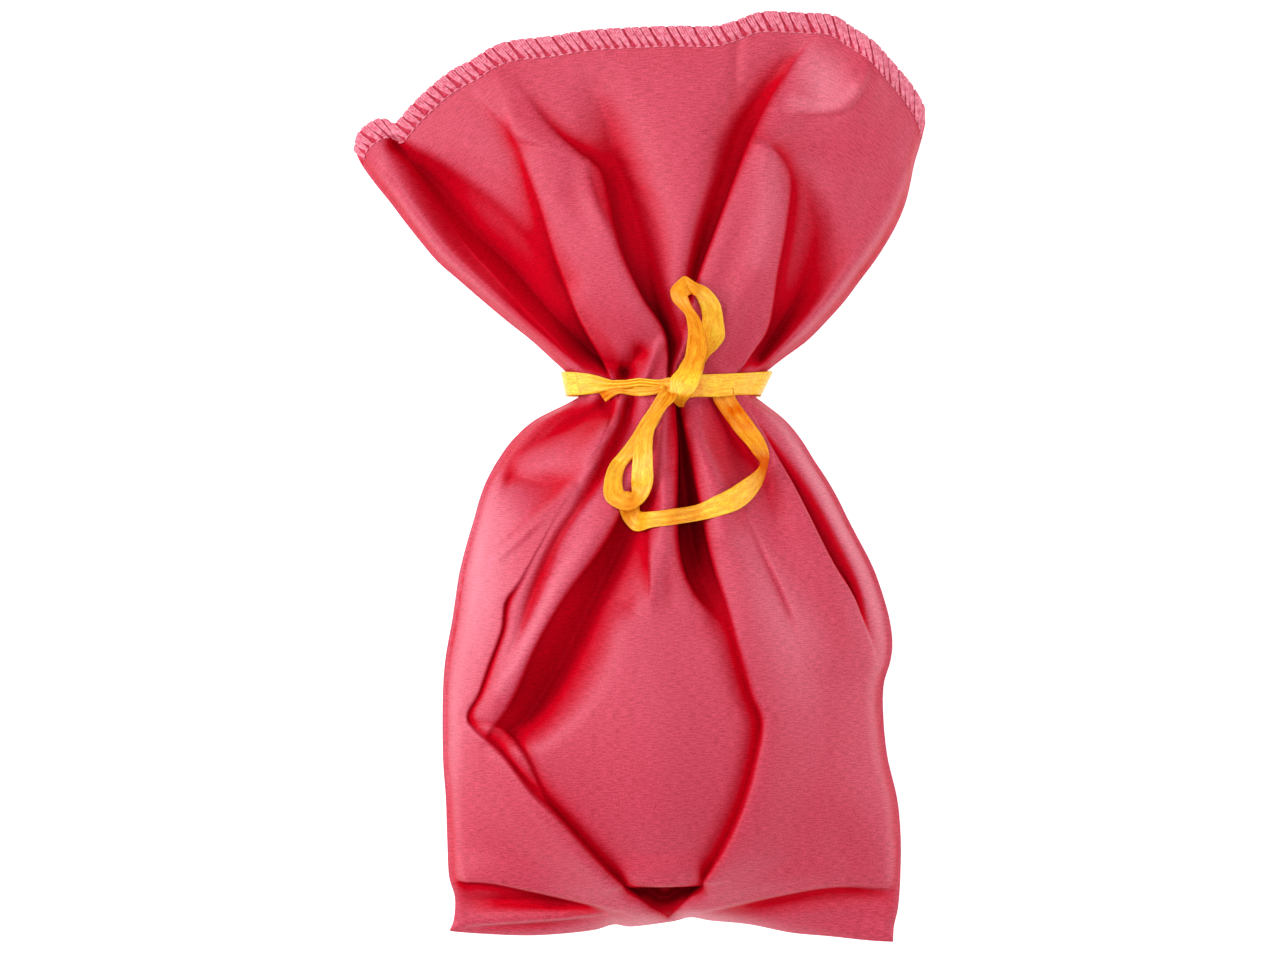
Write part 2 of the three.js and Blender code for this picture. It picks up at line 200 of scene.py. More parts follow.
FRONT_BODY = [
    fold("left_flap_edge", "R", 24, 10, 0.5, [(-21, -5, 2), (-23, -13.5, 1.5), (-28.5, -27, 0.5),
        (-39.5, -44.5, 0.6), (-47.5, -58, 1.2), (-57, -74.5, 2.1), (-63, -83, 2.8), (-64.5, -93.5, 3),
        (-69.5, -107.5, 2.6), (-73, -117.5, 2.5), (-77.5, -129, 2.2), (-64.5, -141.5, 3.5), (-53, -156, 5),
        (-41.5, -168, 5.5), (-26, -185, 5.8), (-11, -199, 5), (-1.5, -206.5, 2.5)]),
    fold("left_under_layer_edge", "R", 10, 8, 0.5, [(-74.5, -130.5, 0.8), (-64.5, -132, 2.5), (-57, -140, 3),
        (-51, -152, 2.8), (-46, -161.5, 2), (-36, -173, 1.2), (-26, -185, 0.5)]),
    ridge("left_rope_outer", [(-20, -6.5, 2.8, 2.4), (-24, -21, 2.8, 3.4), (-32, -40.5, 3.3, 4.5),
        (-43, -58, 3.7, 4.5), (-55, -79, 3.7, 5), (-61.5, -98, 3.5, 4.6), (-68.5, -117.5, 2, 4),
        (-74.5, -127.5, 0.3, 3)]),
    ridge("left_rope_inner", [(-11.5, -32.5, 1.1, 3), (-18.5, -44.5, 2.9, 4.5), (-30, -61.5, 4, 6),
        (-41, -79, 4.4, 6.5), (-51, -98, 4, 6), (-60, -113.5, 2.9, 5), (-67, -124.5, 1.1, 4)]),
    ridge("left_rope_crease", [(-14.5, -5, -5.1, 2), (-17.5, -16.5, -4.1, 2.2), (-26, -34.5, -4.4, 2.6),
        (-34, -46.5, -5.1, 2.8), (-42.5, -59.5, -5.1, 3), (-49.5, -75, -4.1, 3), (-56, -92.5, -3.1, 3),
        (-61.5, -106, -1.4, 2.5)]),
    fold("left_rope_inner_edge", "R", 14, 14, 0.8, [(-14, -40.5, 0.5), (-24.5, -59.5, 2.4),
        (-39.5, -79.5, 3.6), (-51, -99, 4.2), (-59, -117.5, 4), (-66, -129.5, 1.5)]),
    ridge("left_deep_valley", [(-10.5, -44.5, -5.8, 5), (-20.5, -66, -11.6, 7.5), (-29.5, -83.5, -13.6, 9.5),
        (-37.5, -100, -15.3, 10.5), (-46, -115.5, -16.2, 10), (-54, -127.5, -12.8, 8),
        (-62.5, -135, -5.1, 5)]),
    fold("centre_ridge_crease", "L", 8, 8, 0.8, [(-7.5, -44.5, 0.4), (-7, -61.5, 2), (-6.5, -75, 1.8),
        (-7.5, -84.5, 0.2)]),
    ridge("centre_ridge", [(-2.5, -6, 2.8, 3.5), (-2.5, -32.5, 3.9, 4), (-3, -56, 4.4, 4.5),
        (-5, -73, 3.3, 5), (-9, -87.5, 1.1, 6)]),
    fold("centre_valley_left", "R", 9, 11, 1.2, [(2, -6, 3.1), (3, -25, 5), (2.5, -52, 6.2), (4, -68, 5),
        (8.5, -79, 2.5), (17, -87.5, 0.4)]),
    ridge("centre_valley", [(3, -9.5, -3.4, 3), (6, -36.5, -10.2, 4.5), (9, -59.5, -13.6, 6),
        (13, -75, -8.5, 7), (18, -86.5, -3.4, 7)]),
    fold("right_flap_edge", "L", 26, 14, 0.6, [(4.5, -7.5, 1.1), (8.5, -25, 2.1), (12.5, -44.5, 3.2),
        (17, -65.5, 4.2), (23, -84.5, 5.2), (28.5, -104, 5.8), (32.5, -117.5, 5.8), (36.5, -129, 5.5),
        (33.5, -146.5, 5.2), (28.5, -163.5, 5.2), (21, -180, 5.2), (11.5, -195, 4.2), (1.5, -206, 1.5)]),
    ridge("right_neck_ridge", [(9, -15.5, 1.6, 3.5), (17, -34.5, 2.8, 4.5), (22, -56, 2.2, 6)]),
    ridge("right_neck_valley", [(17, -5, -5.1, 5), (26, -21, -10.2, 8), (35.5, -34.5, -7.6, 8),
        (41, -52, -1.7, 7)]),
    fold("right_faint_crease", "L", 15, 11, 1, [(26, -40.5, 0.2), (37.5, -65.5, 1.1), (46, -84.5, 1.2),
        (51, -100, 0.2)]),
    fold("right_long_fold", "R", 18, 14, 1.3, [(36, -18, 1), (50, -44.5, 3.5), (61.5, -67.5, 4),
        (71, -83, 3), (78, -100, 0.6)]),
    ridge("right_outer_ridge", [(47, -17.5, 2.2, 4), (60.5, -40.5, 3.3, 4.5), (73, -63.5, 3.7, 5),
        (82.5, -86.5, 2.6, 5)]),
    fold("right_small_crease", "L", 7.5, 6.6, 1, [(68.5, -75, 0.2), (73, -86.5, 1.1), (77, -99, 0.2)]),
    ridge("left_neck_valley", [(-25.5, -8, -6.8, 4.5), (-36, -13.5, -7.6, 5), (-48.5, -21, -5.8, 6),
        (-60, -27.5, -2.6, 6)]),
    ridge("left_neck_lobe", [(-21.5, -15.5, 3.3, 4), (-30, -25, 3.9, 4.5), (-37.5, -36.5, 2.2, 5)]),
    ridge("left_hollow", [(-60, -35, -5.8, 8), (-47.5, -37.5, -6.5, 8), (-36, -36.5, -5.1, 7)]),
    ridge("left_faint_ridge", [(-65.5, -66.5, 1.3, 2), (-53, -55, 2.2, 2.2), (-41, -43.5, 2.2, 2.4),
        (-30, -32.5, 1.1, 2.4)]),
    ridge("dome", [(-12.5, -98, 3.3, 18), (-7, -129, 5.5, 21), (-4, -160, 5.5, 19), (-1.5, -179, 3.3, 14)]),
    fold("dome_lower_edge", "L", 14, 9, 1.6, [(-19, -193.5, 0.3), (-14, -192.5, 4), (-1, -192, 5),
        (11, -192, 4), (15.5, -191.5, 0.3)]),
    ridge("bottom_cavity", [(-14, -194.5, -5.1, 2), (-7.5, -195.5, -8.5, 2.6), (-1.5, -198.5, -10.2, 3.2),
        (4.5, -195.5, -8.5, 2.6), (11, -194, -5.1, 2)]),
    fold("bottom_left_crease", "L", 14, 11, 1.7, [(-85.5, -192.5, 0.8), (-79.5, -191.5, 2.8),
        (-68.5, -191.5, 3.2), (-53, -194.5, 3), (-37.5, -198.5, 2.2), (-21.5, -202.5, 0.4)]),
    ridge("bottom_left_band", [(-84.5, -199.5, -3.4, 3.4), (-68.5, -200, -5.1, 3.6),
        (-49.5, -200, -4.4, 3.2), (-34, -201.5, -2.4, 2.8), (-24.5, -203.5, -0.5, 2)]),
    fold("bottom_left_line", "L", 7.5, 6.6, 0.9, [(-84.5, -210, 1.2), (-64.5, -208.5, 2.1),
        (-41.5, -206.5, 2), (-21.5, -204, 0.4)]),
    fold("bottom_right_crease", "L", 14, 12, 1.8, [(13, -203.5, 0.2), (35.5, -198.5, 1.6), (62.5, -193.5, 2),
        (86.5, -195, 1)]),
    ridge("corner_hollow_right", [(64.5, -176, -1.7, 9), (70, -183.5, -1.7, 8)]),
    ridge("bottom_right_band", [(26, -204, -1.4, 4), (47, -200, -3.4, 6), (70, -198.5, -3.4, 7),
        (83.5, -199, -2, 6)]),
    ridge("left_shoulder_sheen", [(-76, -52, 1.6, 9), (-73, -75, 2, 9), (-76, -98, 1.3, 9)]),
    ridge("neck_gap_left", [(-24.5, -4, -5.1, 2.2), (-22.5, -10.5, -4.1, 2), (-22, -16.5, -1.7, 2)]),
    ridge("neck_pleat_left", [(-17.5, -4, 2.2, 2), (-19, -11.5, 1.8, 2.4), (-21.5, -19.5, 0.9, 3)]),
    ridge("neck_pleat_mid", [(-9, -4, 2.2, 3), (-9, -17.5, 2.2, 3.4), (-11, -32.5, 1.8, 4)]),
    ridge("neck_gap_mid", [(1.5, -6.5, -3.4, 1.6), (1, -17.5, -3.4, 1.8), (0, -32.5, -1.7, 2)]),
    ridge("dome_top_hollow", [(-15.5, -83, -2.6, 6), (-11, -89.5, -1.4, 7)]),
]
FRONT_FAN = [
    ridge("fan_left_valley", [(-105.5, 93.5, -7.5, 3.4), (-98, 86.5, -9.5, 5), (-88, 76, -15.3, 7),
        (-75.5, 61, -17.8, 9), (-60, 46, -17.8, 9.5), (-44.5, 28, -14.4, 9), (-29.5, 13.5, -11.9, 6.5),
        (-16.5, 5, -6.8, 3)]),
    ridge("fan_left_rim", [(-109.5, 82, 1.6, 3.5), (-98.5, 66.5, 2.2, 4.5), (-82, 46, 2.2, 5),
        (-59, 24.5, 2.2, 4), (-36, 6.5, 1.6, 3)]),
    ridge("fan_left_ramp", [(-91, 86.5, -2.7, 6), (-76, 76.5, -5.8, 8), (-57, 59.5, -7.5, 9),
        (-41.5, 39.5, -5.8, 7)]),
    ridge("fan_left_panel_edge", [(-106.5, 97, 1.1, 2), (-94.5, 91, 1.8, 2.6), (-82, 83, 2, 3),
        (-68.5, 73, 1.8, 3.4), (-55, 62, 1.1, 4)]),
    fold("fan_left_crease", "L", 12, 9, 0.8, [(-77, 116, 0.2), (-68, 105, 1), (-57, 94.5, 1.4),
        (-47.5, 90.5, 0.4)]),
    fold("fan_left_fold", "L", 20, 14, 1.0, [(-63, 108, 0.2), (-59, 96, 1.5), (-54, 84.5, 2.8),
        (-48, 67.5, 4), (-42.5, 49, 4.8), (-34, 27, 4.8), (-24, 9, 3.1), (-21.5, 2.5, 1.2)]),
    ridge("fan_left_ridge", [(-64.5, 115.5, 1.6, 7), (-49.5, 90.5, 2.8, 9), (-36, 63.5, 3.9, 9),
        (-26, 40.5, 3.9, 9), (-14.5, 21, 2.8, 7)]),
    fold("fan_centre_fold", "R", 16, 13, 1.1, [(-55, 111.5, 0.2), (-43.5, 96, 2), (-34, 87.5, 3.8),
        (-27, 82, 4.8), (-23.5, 69.5, 5.8), (-19.5, 52, 6.5), (-11, 33.5, 6.5), (-2, 19, 5.5),
        (-1, 2.5, 2.5)]),
    fold("fan_lip", "R", 7, 6, 1, [(-31, 87.5, 0.4), (-29.5, 75, 2), (-26, 65.5, 2), (-21, 54, 0.4)]),
    ridge("fan_centre_valley", [(-27, 111.5, -3.4, 8), (-23, 98, -8.5, 9), (-21, 88.5, -10.2, 9.5),
        (-14.5, 71, -9.2, 8.5), (-9.5, 52, -7.5, 7), (-5.5, 32.5, -5.4, 5.5), (-0.5, 15.5, -4.2, 4)]),
    ridge("fan_centre_panel", [(6.5, 113.5, 1.1, 16), (8.5, 71, 2.8, 12), (8.5, 52, 3.3, 9),
        (7.5, 29, 2.2, 5)]),
    fold("fan_right_fold", "L", 18, 13, 0.9, [(55.5, 133.5, 0.8), (47, 120.5, 1.8), (37.5, 104.5, 3.8),
        (31, 90.5, 5.2), (25, 74.5, 5.2), (18, 56, 4.8), (12.5, 41, 3.8), (8.5, 25, 1.2)]),
    ridge("fan_right_valley", [(47.5, 128, -2.6, 6), (36.5, 113, -6.1, 8.5), (27, 96, -7.5, 7.5),
        (20, 75, -4.4, 5), (14, 56, -6, 4.5), (9, 36.5, -5.1, 3.5)]),
    ridge("fan_lobe", [(37.5, 90.5, 2.2, 5), (37.5, 71, 4.4, 7), (32.5, 48, 4.4, 7), (26, 29, 3.9, 6),
        (17, 9.5, 2.2, 4)]),
    fold("fan_lobe_edge", "R", 12, 13, 1, [(31.5, 95, 0.4), (41, 88.5, 1.5), (46, 79, 2.4),
        (44.5, 61.5, 2.8), (41, 42.5, 2.8), (38, 23, 2.6), (32.5, 13.5, 2), (26, 4, 0.8)]),
    ridge("fan_lobe_valley", [(53, 75, -3.4, 7), (56, 56, -9.4, 8.5), (52.5, 38.5, -11, 8),
        (45, 24.5, -10.2, 6), (36, 11, -6, 4)]),
    fold("fan_sheen_crease", "R", 14, 9, 1, [(78.5, 127.5, 0.4), (75.5, 116, 1), (68.5, 106, 1),
        (54.5, 103.5, 0.6), (45, 104.5, 0.2)]),
    ridge("fan_sheen_hollow", [(72.5, 97.5, -2, 8), (56.5, 93.5, -2, 9)]),
    ridge("fan_right_rim", [(91, 79, 1.6, 5), (79.5, 56, 2.8, 6), (64.5, 36.5, 2.8, 5), (49, 19, 2.8, 4),
        (37.5, 6, 1.6, 3)]),
    ridge("neck_pleat_a", [(-2.5, 17.5, 1.6, 1.5), (-6, 9.5, 2.2, 1.6), (-9, 2, 1.6, 1.8)]),
    ridge("neck_pleat_b", [(7, 19, 1.1, 1.6), (4, 10.5, 2, 1.6), (0, 1, 1.6, 1.6)]),
    ridge("fan_sheen_patch", [(80, 126.5, 3.3, 9), (77, 116, 4.4, 9), (71, 106.5, 2.2, 8)]),
    ridge("fan_top_crease", [(27, 132, -1.4, 2), (26, 121.5, -1.7, 2), (25.5, 110.5, -0.7, 2)]),
    ridge("fan_neck_valley", [(-11, 12.5, -4.2, 3), (-17.5, 2.5, -3.4, 3)]),
]

# Heights on the centre line and at the side seams, from the bottom seam to the mouth: (y, front, seam).
HEIGHTS = [
    (-215, 3.5, 1.2), (-208, 7, 2), (-200, 15, 4), (-180, 31, 8), (-150, 42, 12), (-115, 47, 15),
    (-80, 47, 16), (-50, 43, 15), (-25, 35, 13), (-6, 25, 12), (6, 24, 12), (18, 28, 10.5), (35, 32, 9),
    (69, 33, 7), (100, 30, 6), (141, 25, 5),
]
LEVELS, FRONT_HEIGHT, SEAM_HEIGHT = smooth(HEIGHTS, 600).T


def heights(y):
    """The front's height on the centre line, and the side seams'."""
    return np.interp(y, LEVELS, FRONT_HEIGHT), np.interp(y, LEVELS, SEAM_HEIGHT)


COLUMNS, BODY_ROWS, FAN_ROWS = 280, 290, 210  # of each panel's points
OUTLINE_POINTS = 400
BOTTOM_Y = -211  # of the side seams' lower ends
BODY_LENGTH = 207  # from there to the neck
MOUTH_Y = 141
NECK_LEFT, NECK_WIDTH = -33.5, 66.5


def plan_grid():
    """Both panels' points from above, [row, column, (x, y, v)], and the columns' shares of the width.

    v is 0 at the bottom seam, 1 at the neck and 2 at the mouth. Columns are closer together at the sides."""
    t = np.linspace(0, 1, COLUMNS)
    u = 0.45 * t + 0.55 * (0.5 - 0.5 * np.cos(np.pi * t))
    rows = []
    bottom = even(BOTTOM_EDGE, OUTLINE_POINTS)
    left = even(BODY_LEFT, OUTLINE_POINTS)[::-1]
    right = even(BODY_RIGHT, OUTLINE_POINTS)[::-1]
    for v in np.linspace(0, 1, BODY_ROWS, endpoint=False):
        y = BOTTOM_Y + BODY_LENGTH * v
        xl, xr = np.interp(y, left[:, 1], left[:, 0]), np.interp(y, right[:, 1], right[:, 0])
        x = xl + (xr - xl) * u
        # The lowest rows follow the wavy bottom edge.
        seam_y = np.interp(x, bottom[:, 0], bottom[:, 1])
        fade = max(0.0, 1 - (y - BOTTOM_Y) / 40) ** 2
        rows.append(np.stack([x, y + fade * (seam_y - BOTTOM_Y), np.full_like(x, v)], axis=1))
    # The fan is filled in between its four edges.
    left, right = even(FAN_LEFT, OUTLINE_POINTS), even(FAN_RIGHT, OUTLINE_POINTS)
    mouth = even(MOUTH_EDGE, OUTLINE_POINTS)
    at = np.linspace(0, 1, OUTLINE_POINTS)
    neck = np.stack([NECK_LEFT + NECK_WIDTH * u, np.zeros_like(u)], axis=1)
    top = np.stack([np.interp(u, at, mouth[:, 0]), np.interp(u, at, mouth[:, 1])], axis=1)
    for v in np.linspace(0, 1, FAN_ROWS):
        side_l = np.array([np.interp(v, at, left[:, 0]), np.interp(v, at, left[:, 1])])
        side_r = np.array([np.interp(v, at, right[:, 0]), np.interp(v, at, right[:, 1])])
        ruled = (1 - v) * neck + v * top
        across = (1 - u)[:, None] * side_l + u[:, None] * side_r
        corners = (
            ((1 - u) * (1 - v))[:, None] * neck[0] + (u * (1 - v))[:, None] * neck[-1]
            + ((1 - u) * v)[:, None] * top[0] + (u * v)[:, None] * top[-1]
        )
        rows.append(np.column_stack([ruled + across - corners, np.full_like(u, 1 + v)]))
    return np.array(rows), u


PLAN, U = plan_grid()
S = 2 * U[None, :] - 1  # share of the half width
V = PLAN[..., 2]
# Distance along the pouch from the neck, the same all along a fanned row.
LEVEL = np.where(V < 1, PLAN[..., 1], (V - 1) * MOUTH_Y)


def relax(z, times):
    """Smooths a field of heights a little, leaving its rim alone."""
    for _ in range(times):
        mean = (z[:-2, 1:-1] + z[2:, 1:-1] + z[1:-1, :-2] + z[1:-1, 2:]) / 4
        z[1:-1, 1:-1] += 0.5 * (mean - z[1:-1, 1:-1])
    return z


TABLE_GAP = 0.3  # the back's lowest point, and the two panels' distance along their seams


def back_surface():
    """The back lies on the table. Returns its points, and the height of its gathers."""
    grid = PLAN.copy()
    seam = heights(LEVEL)[1]
    # The sides curve up to the seams, and the tied neck is off the table.
    rise = np.clip((np.abs(S) - 0.55) / 0.45, 0, 1) ** 2
    lift = np.interp(LEVEL, [-70, -6, 6, 50], [0.0, 3.6, 3.6, 0.0])
    # Gathers stand up into the neck and run out over the body and the fan.
    levels = [-215, -150, -90, -45, -8, 8, 40, 110, 141]
    deep = np.interp(LEVEL, levels, [0, 1.6, 2, 4, 7.5, 7.5, 4.5, 2, 0])
    wave = 0.5 - 0.5 * np.cos(np.pi * (9 * (S + 1) + 0.35 * np.sin(LEVEL / 17) + 0.5 * np.sin(5 * S)))
    gathers = deep * wave * (1 - S**4)
    grid[..., 2] = TABLE_GAP + lift + (seam - TABLE_GAP - lift) * rise + gathers
    return grid, gathers


SEAM_REACH = 7  # how far the pull of a seam is felt
CLEARANCE = 1.5  # between the front and the back inside the pouch


def front_surface():
    """The front swells over the filling and takes every fold. Returns its points, and its folds' height."""
    grid = PLAN.copy()
    front, seam = heights(LEVEL)
    arch = np.clip(1 - np.abs(S) ** 2.4, 0, 1)
    levels = [-215, -180, -100, -30, -8, 8, 40, 141]
    power = np.interp(LEVEL, levels, [0.7, 0.62, 0.66, 0.6, 0.5, 0.5, 0.55, 0.6])
    grid[..., 2] = seam + (front - seam) * arch**power
    unfolded = grid[..., 2].copy()
    to_side = (1 - np.abs(S)) * np.interp(LEVEL, [BOTTOM_Y, -6, 6, MOUTH_Y], [86, 38, 38, 110])
    hold = np.clip(to_side / SEAM_REACH, 0, 1)
    hold = hold * hold * (3 - 2 * hold)
    grid = apply_strokes(FRONT_BODY + FRONT_FAN, grid, hold)
    grid[..., 2] = relax(grid[..., 2], 2)
    # It never sinks into the back, and meets it along the seams.
    back = back_surface()[0][..., 2]
    spare = grid[..., 2] - back - CLEARANCE
    grid[..., 2] += np.where(spare < 3, 3 * np.exp((np.minimum(spare, 3) - 3) / 3) - spare, 0)
    relief = grid[..., 2] - unfolded
    to_seam = np.minimum(to_side, np.where(V < 1, V * BODY_LENGTH, SEAM_REACH))
    closing = 1 - (1 - np.clip(to_seam / SEAM_REACH, 0, 1)) ** 3
    grid[..., 2] = back + TABLE_GAP + (grid[..., 2] - back - TABLE_GAP) * closing
    return grid, relief


def painted_shading(grid, relief):
    """How much of the sky the folds hide from each point, from 0 on open cloth to 1: painted into the colour
    as shade.

    relief is the folds' height. It is laid out on a map with a cell to each square millimetre."""
    low = grid[..., :2].reshape(-1, 2).min(0) - 2
    size = np.ceil(grid[..., :2].reshape(-1, 2).max(0) + 2 - low).astype(int) + 1
    i, j = (grid[..., 0] - low[0]).astype(int), (grid[..., 1] - low[1]).astype(int)
    field = np.full(size, -99.0)  # far below the cloth where there is none
    np.maximum.at(field, (i, j), relief)
    hidden = np.zeros(relief.shape)
    turns = np.linspace(0, 2 * np.pi, 12, endpoint=False)
    for turn in turns:
        horizon = np.zeros(relief.shape)
        for step in (2, 3, 4.5, 6.5, 9, 13, 18, 25):
            a = np.clip(i + int(round(step * np.cos(turn))), 0, size[0] - 1)
            b = np.clip(j + int(round(step * np.sin(turn))), 0, size[1] - 1)
            horizon = np.maximum(horizon, (field[a, b] - relief) / step)
        hidden += np.sin(np.arctan(horizon)) ** 2 / len(turns)
    return relax(hidden, 10)


# Painted sheen, where the satin's floating threads face the window: its colour is painted lighter along lines
# of (x, y, strength, half width).
PAINTED_SHEEN_LINES = [
    [(-64.5, -36.5, 0.2, 8), (-68, -56, 0.6, 10), (-72.5, -79, 0.72, 10), (-76, -102, 0.5, 8),
        (-81, -125, 0.35, 8), (-84, -148, 0.15, 8)],
    [(-21.5, -32, 0.3, 3.5), (-34.5, -56, 0.5, 4.5), (-46, -75, 0.55, 5), (-54.5, -94.5, 0.5, 4.5),
        (-63, -115.5, 0.3, 4)],
    [(39.5, -13.5, 0.3, 4), (50, -29.5, 0.5, 5), (61.5, -50, 0.55, 5), (71, -68, 0.45, 5),
        (79.5, -87.5, 0.4, 5), (83, -104, 0.2, 5)],
    [(31, -61.5, 0.25, 7), (38.5, -79, 0.45, 9), (47, -96, 0.45, 11), (51, -113.5, 0.2, 10)],
    [(53, 128, 0.3, 7), (58.5, 119.5, 0.75, 9), (61, 113.5, 0.85, 9)],
    [(69.5, 113, 0.6, 4), (61.5, 108, 0.75, 4), (49, 108, 0.5, 4)],
    [(37.5, 86.5, 0.2, 4), (38.5, 69.5, 0.35, 5), (34, 48, 0.25, 5)],
]


def painted_sheen_map(grid):
    """How much painted sheen lightens the satin's colour at each point, from 0 to 1."""
    painted_sheen = np.zeros(grid.shape[:2])
    for points in PAINTED_SHEEN_LINES:
        path = smooth(points, 8 * len(points))
        mask = near(path, 2.5 * path[:, 3].max(), grid[..., 0], grid[..., 1])
        d, v = nearest(path, grid[..., 0][mask], grid[..., 1][mask])
        painted_sheen[mask] = np.maximum(painted_sheen[mask], v[:, 0] * np.exp(-((d / v[:, 1]) ** 2)))
    return painted_sheen


# ---- materials


def node_material(name):
    """A material with a bare Principled shader, its node tree and the shader."""
    material = bpy.data.materials.new(name)
    material.use_nodes = True
    tree = material.node_tree
    tree.nodes.clear()
    output = tree.nodes.new("ShaderNodeOutputMaterial")
    shader = tree.nodes.new("ShaderNodeBsdfPrincipled")
    tree.links.new(shader.outputs["BSDF"], output.inputs["Surface"])
    return material, tree, shader


def add(tree, kind, **values):
    """A new node. Each value goes to its input of that name, or to its property."""
    node = tree.nodes.new(kind)
    for key, value in values.items():
        if key in node.inputs:
            node.inputs[key].default_value = value
        else:
            setattr(node, key, value)
    return node


def linear(r, g, b):
    """A screen colour, with channels from 0 to 255, as a linear one."""
    shares = [c / 255 for c in (r, g, b)]
    return tuple(((c + 0.055) / 1.055) ** 2.4 if c > 0.04 else c / 12.92 for c in shares) + (1.0,)


def scaled(colour, share):
    """The same colour, darker or lighter."""
    return tuple(share * c for c in colour[:3]) + (1.0,)


def blend(tree, share, a, b, kind="MIX"):
    """a and b, each a colour or a socket, mixed by a share that is a number or a socket."""
    node = add(tree, "ShaderNodeMix", data_type="RGBA", blend_type=kind)
    for socket, value in ((node.inputs[0], share), (node.inputs[6], a), (node.inputs[7], b)):
        if isinstance(value, bpy.types.NodeSocket):
            tree.links.new(value, socket)
        else:
            socket.default_value = value
    return node.outputs[2]


def ramp(tree, value, low, high, to_low=0.0, to_high=1.0):
    """A socket's value, moved from the range low to high into the range to_low to to_high."""
    numbers = {"From Min": low, "From Max": high, "To Min": to_low, "To Max": to_high}
    node = add(tree, "ShaderNodeMapRange", **numbers)
    tree.links.new(value, node.inputs["Value"])
    return node.outputs["Result"]


def threads(tree, scale, detail):
    """Noise drawn out along the threads: scale counts them per 100 mm across and along the cloth."""
    uv = add(tree, "ShaderNodeUVMap", uv_map="cloth").outputs["UV"]
    mapping = add(tree, "ShaderNodeMapping", Scale=(scale[0], scale[1], scale[1]))
    tree.links.new(uv, mapping.inputs["Vector"])
    noise = add(tree, "ShaderNodeTexNoise", Scale=1.0, Detail=detail, Roughness=0.6)
    tree.links.new(mapping.outputs["Vector"], noise.inputs["Vector"])
    return noise.outputs["Fac"]


def satin(name, low, high, deep, fine, coarse, roughness, shine, tint, bump=0.3, sheen=0.0, painted_sheen=None):
    """Satin: a saturated body colour under a light-coloured shine from its floating threads, and painted
    shade and sheen.

    low and high are the colours of its threads, deep the painted shade colour in the folds, and the last
    colour, if given, the painted highlight colour where the threads face the light. fine and coarse are the
    counts of two layers of threads."""
    material, tree, shader = node_material(name)
    weave = threads(tree, fine, 2.0)
    slub = threads(tree, coarse, 3.0)
    both = add(tree, "ShaderNodeMath", operation="ADD")
    tree.links.new(weave, both.inputs[0])
    tree.links.new(slub, both.inputs[1])
    thread = ramp(tree, both.outputs[0], 0.85, 1.15)
    colour = blend(tree, thread, low, high)
    # This value runs from -1 in the brightest painted sheen, through 0 on open cloth, to 1 deep in a fold,
    # where shade is painted.
    sky = add(tree, "ShaderNodeAttribute", attribute_name="painted_shading").outputs["Fac"]
    if painted_sheen:
        lit = blend(tree, thread, scaled(painted_sheen, 0.78), scaled(painted_sheen, 1.22))
        colour = blend(tree, ramp(tree, sky, -1, 0, 1, 0), colour, lit)
    # Painted shade: the colour darkens from open cloth to a fold, and on to the darkest part of it.
    shaded = blend(tree, thread, scaled(deep, 0.8), scaled(deep, 1.15))
    folded = blend(tree, ramp(tree, sky, 0.03, 0.32), colour, shaded)
    darkest = blend(tree, thread, scaled(deep, 0.3), scaled(deep, 0.48))
    colour = blend(tree, ramp(tree, sky, 0.34, 0.66), folded, darkest)
    tree.links.new(colour, shader.inputs["Base Color"])
    relief = add(tree, "ShaderNodeBump", Strength=bump, Distance=0.0003)
    tree.links.new(both.outputs[0], relief.inputs["Height"])
    tree.links.new(relief.outputs["Normal"], shader.inputs["Normal"])
    shader.inputs["Roughness"].default_value = roughness
    # The shine, and the sheen below, fade out where shade is painted in the folds.
    tree.links.new(ramp(tree, sky, 0.05, 0.3, shine, 0.02), shader.inputs["Specular IOR Level"])
    shader.inputs["Specular Tint"].default_value = tint
    if sheen:
        shader.inputs["Sheen Tint"].default_value = (1.0, 0.5, 0.6, 1)
        shader.inputs["Sheen Roughness"].default_value = 0.45
        tree.links.new(ramp(tree, sky, 0.02, 0.15, sheen, 0.0), shader.inputs["Sheen Weight"])
    return material


# Each satin's fourth colour is its painted shade colour in the folds; the coral's last colour is its painted
# highlight colour.
CORAL = satin(
    "coral_satin", linear(165, 14, 43), linear(204, 55, 83), linear(190, 2, 26), (110, 330), (22, 220),
    roughness=0.55, shine=0.95, tint=(1.0, 0.62, 0.72, 1), sheen=0.25, painted_sheen=linear(214, 110, 128),
)
RIBBON = satin(
    "ribbon_satin", linear(244, 156, 6), linear(255, 210, 44), linear(218, 92, 0), (420, 60), (160, 18),
    roughness=0.4, shine=0.8, tint=(1.0, 0.92, 0.7, 1), bump=0.5,
)
THREAD = satin(
    "overlock_thread", linear(206, 84, 108), linear(236, 144, 162), linear(190, 40, 70), (400, 400), (60, 60),
    roughness=0.75, shine=0.3, tint=(1, 1, 1, 1),
)
HEM_CLOTH = satin(
    "hem_satin", linear(176, 26, 50), linear(206, 56, 84), linear(160, 10, 30), (120, 14), (60, 60),
    roughness=0.65, shine=0.4, tint=(1.0, 0.7, 0.8, 1),
)


# ---- mesh pieces

UV_UNIT = 100  # millimetres of flat cloth to one unit of a uv map


def lay_out(mesh, flat):
    """Gives a mesh its flat shape as its uv map: flat has a pair for every point."""
    uv = mesh.uv_layers.new(name="cloth")
    loops = np.empty(len(mesh.loops), dtype=int)
    mesh.loops.foreach_get("vertex_index", loops)
    uv.data.foreach_set("uv", flat.reshape(-1, 2)[loops].ravel())


def as_piece(name, mesh, material):
    """The mesh as a smooth object of one material."""
    mesh.shade_smooth()
    piece = bpy.data.objects.new(name, mesh)
    bpy.context.scene.collection.objects.link(piece)
    mesh.materials.append(material)
    return piece


